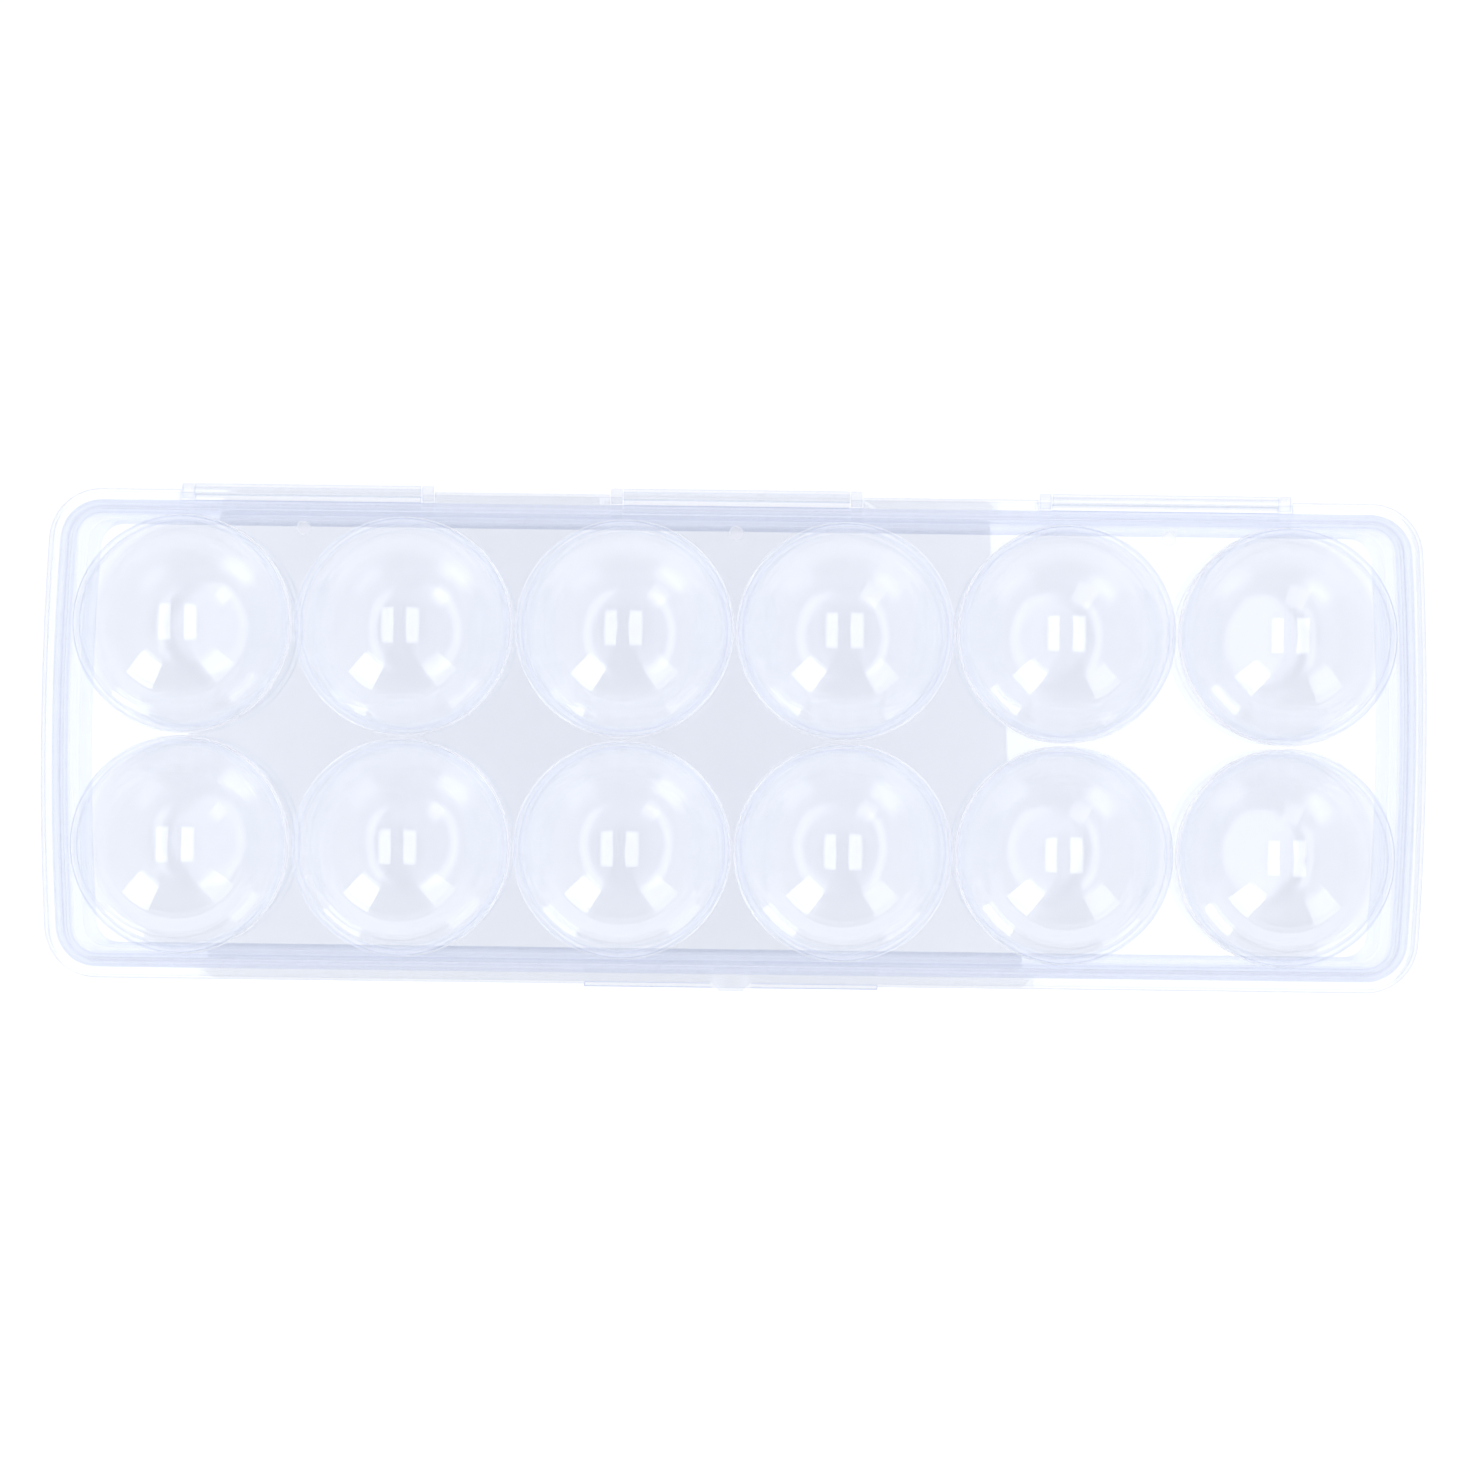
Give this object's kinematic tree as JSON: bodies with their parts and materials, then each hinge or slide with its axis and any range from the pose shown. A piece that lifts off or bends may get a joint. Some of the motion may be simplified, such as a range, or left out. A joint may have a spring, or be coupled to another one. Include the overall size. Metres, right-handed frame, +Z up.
{
  "type": "egg keeper with flip lid",
  "caption": "Clear plastic egg keeper: a tray of round cups in two rows, under a flip lid that has a matching dome over each cup.",
  "frame": {"origin": "on the resting face, in the middle of the shut keeper's length and depth", "axes": "+X along the keeper's length, +Y towards the hinge, +Z up"},
  "size_m": [0.3166, 0.1146, 0.063],
  "materials": {
    "tray_plastic": "clear polished moulding, faint cool tint",
    "lid_plastic": "clear polished moulding, faint cool tint"
  },
  "bodies": {
    "tray": {"tray_wall": "tray_plastic", "egg_cup_01": "tray_plastic", "egg_cup_02": "tray_plastic", "egg_cup_03": "tray_plastic", "egg_cup_04": "tray_plastic", "egg_cup_05": "tray_plastic", "egg_cup_06": "tray_plastic", "egg_cup_07": "tray_plastic", "egg_cup_08": "tray_plastic", "egg_cup_09": "tray_plastic", "egg_cup_10": "tray_plastic", "egg_cup_11": "tray_plastic", "egg_cup_12": "tray_plastic", "hinge_bar_left": "tray_plastic", "hinge_bar_centre": "tray_plastic", "hinge_bar_right": "tray_plastic", "tray_thumb_nub": "tray_plastic"},
    "lid": {"lid_rim": "lid_plastic", "lid_dome_01": "lid_plastic", "lid_dome_02": "lid_plastic", "lid_dome_03": "lid_plastic", "lid_dome_04": "lid_plastic", "lid_dome_05": "lid_plastic", "lid_dome_06": "lid_plastic", "lid_dome_07": "lid_plastic", "lid_dome_08": "lid_plastic", "lid_dome_09": "lid_plastic", "lid_dome_10": "lid_plastic", "lid_dome_11": "lid_plastic", "lid_dome_12": "lid_plastic", "hinge_clip_left": "lid_plastic", "hinge_clip_centre": "lid_plastic", "hinge_clip_right": "lid_plastic", "lid_front_tongue": "lid_plastic", "lid_moulding_bosses": "lid_plastic"}
  },
  "joints": [
    {"name": "lid_hinge", "type": "hinge", "parent": "tray", "child": "lid", "pos_m": [0, 0.0556, 0.03195], "axis": [-1, 0, 0], "range_deg": [0, 180]}
  ]
}
